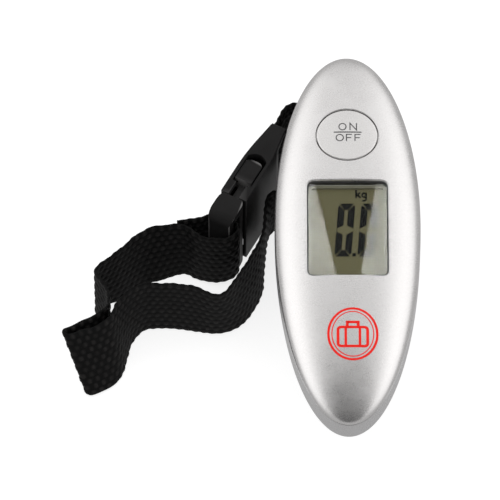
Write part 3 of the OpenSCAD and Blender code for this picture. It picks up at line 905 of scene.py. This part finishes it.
lcd_ink = finish("lcd_ink", (0.005, 0.005, 0.006), 0.5, grain=0.5, depth=0.002, contrast=0.1,
                 Specular_IOR_Level=0.05)
add_to(display_digits(lcd_ink), "scale", "lcd_glass")
unit = [([(2.75, 14.6), (2.75, 17.7)], 0.62, lcd_surface, False),
        ([(4.0, 16.7), (3.0, 15.7)], 0.6, lcd_surface, False),
        ([(3.2, 15.8), (4.1, 14.6)], 0.62, lcd_surface, False),
        (ellipse(5.2, 15.7, 0.56, 0.78, 20), 0.56, lcd_surface, True),
        ([(5.85, 16.6), (5.85, 14.0), (5.3, 13.5), (4.6, 13.65)], 0.56, lcd_surface, False)]
printed("lcd_unit", unit, lcd_ink, "scale", "lcd_glass")


WEDGE_DISTANCE = 0.45
WEDGE_WIDTH = 0.05
WEDGE_POWER = 0.35


def wedge_light(name, near_end, far_end, outward):
    """A small soft light that only the lens reflects, with one edge along a line on the lens."""
    away = Vector((0, math.cos(CAMERA_ELEVATION), math.sin(CAMERA_ELEVATION)))
    plane = Vector((0, WINDOW_MID * MM, LENS_TOP * MM)) + away * WEDGE_DISTANCE
    ends = []
    for x, y in (near_end, far_end):
        place = Vector((x * MM, y * MM, LENS_TOP * MM))
        ray = place - camera.location
        ray.z = -ray.z
        ends.append(place + ray * ((plane - place).dot(away) / ray.dot(away)))
    along = ends[1] - ends[0]
    sideways = along.cross(away).normalized()
    if sideways.x * outward < 0:
        sideways = -sideways
    centre = (ends[0] + ends[1]) / 2 + sideways * WEDGE_WIDTH / 2
    across = sideways if sideways.cross(along).dot(away) > 0 else -sideways
    along_unit = along.normalized()
    turn = Matrix((across, along_unit, across.cross(along_unit))).transposed()
    made = area_light(name, (WEDGE_WIDTH, along.length * 2.2), WEDGE_POWER)
    made.matrix_world = Matrix.Translation(centre) @ turn.to_4x4()
    only = bpy.data.collections.new(name + "_receivers")
    only.objects.link(lens)
    made.light_linking.receiver_collection = only


wedge_light("card_left", (-9.8, 16.2), (-3.9, -12.9), -1)
wedge_light("card_right", (8.7, 16.9), (4.1, -13.6), 1)


# --------------------------------------------------------------------------
# Red mark: a plain ring with a suitcase sign
# --------------------------------------------------------------------------
MARK = (1.3, -37.5)
MARK_X, MARK_Y = 7.6, 9.1
ink_red = finish("ink_red", (0.68, 0.014, 0.009), 0.5, grain=0.25, depth=0.004, contrast=0.12,
                 Specular_IOR_Level=0.1)
mark_x, mark_y = MARK
case = [(x + mark_x, y + mark_y - 1.0) for x, y in rounded_rectangle((4.6, 3.4), 1.0, 0, 0.6)]
grip = [(mark_x - 1.7, mark_y + 2.4), (mark_x - 1.7, mark_y + 4.2), (mark_x + 1.7, mark_y + 4.2),
        (mark_x + 1.7, mark_y + 2.4)]
mark = [(ellipse(mark_x, mark_y, MARK_X, MARK_Y, 72), 0.75, face_z, True),
        (ellipse(mark_x, mark_y, MARK_X - 1.1, MARK_Y - 1.1, 72), 0.35, face_z, True),
        (case, 0.9, face_z, True), (grip, 0.9, face_z, False)]
mark += [([(mark_x + x, mark_y - 4.4), (mark_x + x, mark_y + 2.4)], 0.8, face_z, False) for x in (-2.2, 2.2)]
printed("red_mark", mark, ink_red, "scale", "cover_paint")


# --------------------------------------------------------------------------
# Buckle
# --------------------------------------------------------------------------
BUCKLE_ANGLE = math.radians(61.6)
BUCKLE_FOOT = (-40.5, 8.6)
BUCKLE_W = high_mm("buckle_female")[2]
EYE_WALL = 2.9
PRONG_DEPTH = 5.0


def from_buckle(u, v, w):
    """A place in the buckle's own frame: along it, through its thickness and up its width."""
    c, s = math.cos(BUCKLE_ANGLE), math.sin(BUCKLE_ANGLE)
    return (BUCKLE_FOOT[0] + c * u - s * v, BUCKLE_FOOT[1] + s * u + c * v, w)


def prism(name, outline, low, high, material, plane="uv"):
    """An outline in the buckle's frame drawn out along its third axis."""
    if (area_of(outline) < 0) == (plane == "uv"):
        outline = outline[::-1]
    if plane == "uv":
        rings = [[from_buckle(a, b, end) for a, b in outline] for end in (low, high)]
    else:
        rings = [[from_buckle(a, end, b) for a, b in outline] for end in (low, high)]
    return new_object(name, *loft(rings), material, smooth=False)


def mirrored(side):
    """An outline from one side's (u, v) points, which go round to the other side."""
    return [(u, -v) for u, v in side] + [(u, v) for u, v in reversed(side)]


def socket_half(material):
    """The female half: smooth tapered walls, an arched window for the prongs, and the eye."""
    side = [(10, 4.5), (13, 4.5), (17, 4.5), (21, 4.48), (25, 4.36), (28, 4.1), (31, 3.75), (34, 3.3),
            (37, 2.85), (39.2, 2.55), (40, 2.3)]
    body = prism("buckle_socket", mirrored(side), 0, BUCKLE_W, material)
    arch = [(27.4 - 1.7 * (v / 3.3) ** 2, v) for v in np.linspace(-3.3, 3.3, 13)]
    window = prism("window", [(15.2, -3.3)] + [(15.2, 3.3)] + arch[::-1], -1, BUCKLE_W + 1, material)
    pocket = prism("pocket", [(9, -3.3), (28, -3.3), (28, 3.3), (9, 3.3)], 2.2, BUCKLE_W - 2.2, material)
    throat = prism("throat", [(9, -1.9), (20, -1.9), (20, 1.9), (9, 1.9)], -1, BUCKLE_W + 1, material)
    eye = prism("eye", [(33.5, -6), (37.8, -6), (37.8, 6), (33.5, 6)], EYE_WALL, BUCKLE_W - EYE_WALL,
                material)
    relief = [prism("relief", [(37.7, s * 1.1), (41, s * 1.1), (41, s * 6), (37.7, s * 6)], EYE_WALL,
                    BUCKLE_W - EYE_WALL, material) for s in (-1, 1)]
    cut(body, [window, pocket, throat, eye, *relief])
    round_edges(body, 0.32)
    return body


def plug_half(material):
    """The male half: a rounded base with the webbing's slot, and the middle tongue."""
    def arc(cu, cw, r, start, end):
        return [(cu + r * math.cos(t), cw + r * math.sin(t)) for t in np.linspace(start, end, 8)]

    r, end = 3.6, 9.7
    outline = arc(r, r, r, 1.5 * math.pi, math.pi) + arc(r, BUCKLE_W - r, r, math.pi, 0.5 * math.pi)
    outline += [(end, BUCKLE_W), (end, 0)]
    base = prism("buckle_plug", outline, -6, 6, material, "uw")
    side = [(0, 3.3), (0.4, 3.8), (1.3, 4.15), (3, 4.3), (6.2, 4.3), (8, 4.15), (9, 3.8), (9.8, 3.1)]
    cut(base, [prism("barrel", mirrored(side), -1, BUCKLE_W + 1, material)], "INTERSECT")
    slot = prism("slot", [(2.2, EYE_WALL), (6, EYE_WALL), (6, BUCKLE_W - EYE_WALL),
                          (2.2, BUCKLE_W - EYE_WALL)], -6, 6, material, "uw")
    sockets = [prism("socket", [(6.0, -1.65), (11, -1.65), (11, 1.65), (6.0, 1.65)], w - 1.9, w + 1.9,
                     material) for w in (PRONG_DEPTH, BUCKLE_W - PRONG_DEPTH)]
    cut(base, [slot, *sockets])
    round_edges(base, 0.8, 4)
    tongue = prism("tongue", [(9, 13.3), (24, 13.9), (24, 18.6), (9, 19.2)], -1.3, 1.3, material, "uw")
    round_edges(tongue, 0.3)
    join(base, [tongue])
    return base


def join(piece, others):
    """Adds the other objects' meshes to the piece."""
    made = bmesh.new()
    made.from_mesh(piece.data)
    for other in others:
        made.from_mesh(other.data)
        bpy.data.objects.remove(other)
    made.to_mesh(piece.data)
    made.free()
    sharpen(piece, 40)


def prong_piece(name, material, lower=False):
    """A spring arm with its wide head, whose sloped face the fingers press."""
    def w(value):
        return BUCKLE_W - value if lower else value

    arm_w = BUCKLE_W - PRONG_DEPTH
    arm = [(6.3, arm_w - 1.1), (6.3, arm_w + 1.1), (18, arm_w + 1.1), (18, arm_w - 1.1)]
    head = [(16.8, arm_w - 1.1), (25.9, arm_w + 0.6), (25.9, arm_w + 3), (25.2, arm_w + 3.9),
            (23.6, arm_w + 4.4), (20, arm_w + 4.55), (16.8, arm_w + 4.6)]
    plan = [(16, 3.1), (16, -2.6)]
    plan += [(25.9 - 1.9 * ((v - 0.25) / 2.85) ** 2, v) for v in np.linspace(-2.6, 3.1, 11)]
    pieces = []
    for outline, half in ((arm, 1.5), (head, 6)):
        made = prism(name, [(u, w(h)) for u, h in outline], -half, half, material, "uw")
        if half > 3:
            cut(made, [prism("plan", plan, -1, BUCKLE_W + 1, material)], "INTERSECT")
        round_edges(made, 0.3)
        pieces.append(made)
    join(pieces[0], pieces[1:])
    return pieces[0]


# The buckle's sharp edges get a painted highlight, a paler grey in place of light on its rims
buckle_black = finish("buckle_black", (0.011, 0.0107, 0.0107), 0.42, grain=0.35, depth=0.008, contrast=0.15,
                      edge_highlight=(0.13, 0.127, 0.127), Specular_IOR_Level=0.07)
socket = add_to(socket_half(buckle_black), "scale", "buckle_plastic", "buckle_female")
plug = add_to(plug_half(buckle_black), "scale", "buckle_plastic", "buckle_male")
prongs = [add_to(prong_piece("prong_upper_arm", buckle_black), "prong_top", "buckle_plastic", "upper_prong"),
          add_to(prong_piece("prong_lower_arm", buckle_black, True), "prong_bottom", "buckle_plastic",
                 "lower_prong")]


# --------------------------------------------------------------------------
# CAD parts that keep their shape
# --------------------------------------------------------------------------
zinc = finish("zinc_steel", (0.6, 0.61, 0.63), 0.32, 0.95, grain=0.25, depth=0.004, contrast=0.1,
              stretch=(1, 6, 6))
finishes = {
    "lcd_panel": finish("lcd_olive", (0.118, 0.106, 0.062), 0.5, grain=0.5, depth=0.0, contrast=0.05,
                        Specular_IOR_Level=0.1),
    "zebra_strips": finish("elastomer", (0.2, 0.2, 0.22), 0.6, grain=0.3, depth=0.02, stretch=(1, 8, 1)),
    "circuit_board": finish("board_green", (0.03, 0.22, 0.1), 0.35, grain=0.8, depth=0.01),
    "controller_chip": finish("epoxy_black", (0.02, 0.02, 0.02), 0.25, grain=1.5, depth=0.03),
    "tact_switch": finish("switch_grey", (0.25, 0.25, 0.26), 0.4),
    "switch_plunger": finish("plunger_grey", (0.12, 0.12, 0.13), 0.4),
    "load_beam": finish("beam_alloy", (0.75, 0.76, 0.78), 0.35, 0.95, stretch=(1, 8, 1)),
    "strain_gauges": finish("gauge_film", (0.65, 0.42, 0.12), 0.3, grain=0.2),
    "coin_cell": finish("cell_steel", (0.7, 0.71, 0.73), 0.22, 0.98, stretch=(1, 5, 1)),
    "positive_contact": finish("spring_metal", (0.75, 0.62, 0.32), 0.3, 0.98),
    "battery_cap": casing_paint,
}
finishes["negative_contact"] = finishes["positive_contact"]
for node in ("beam_screws", "shackle", "shackle_screws", "strap_pin", "case_screws"):
    finishes[node] = zinc
EDGE = {"battery_cap": 0.25, "shackle": 0.3, "shackle_screws": 0.25, "beam_screws": 0.3, "case_screws": 0.3,
        "strap_pin": 0.2}
for node, material in finishes.items():
    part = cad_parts[node]
    part.data.materials.clear()
    part.data.materials.append(material)
    sharpen(part, 35)
    if node in EDGE:
        step = part.modifiers.new("round", "BEVEL")
        step.width = EDGE[node] * MM
        step.segments = 2
        step.limit_method = "ANGLE"
        step.angle_limit = math.radians(35)

# The black parts get no light from the bright floor, so that their lower halves stay dark
unlit = bpy.data.collections.new("not_lit_by_floor")
floor.light_linking.receiver_collection = unlit
for piece in (web, socket, plug, *prongs):
    unlit.objects.link(piece)
for member in unlit.collection_objects:
    member.light_linking.link_state = "EXCLUDE"
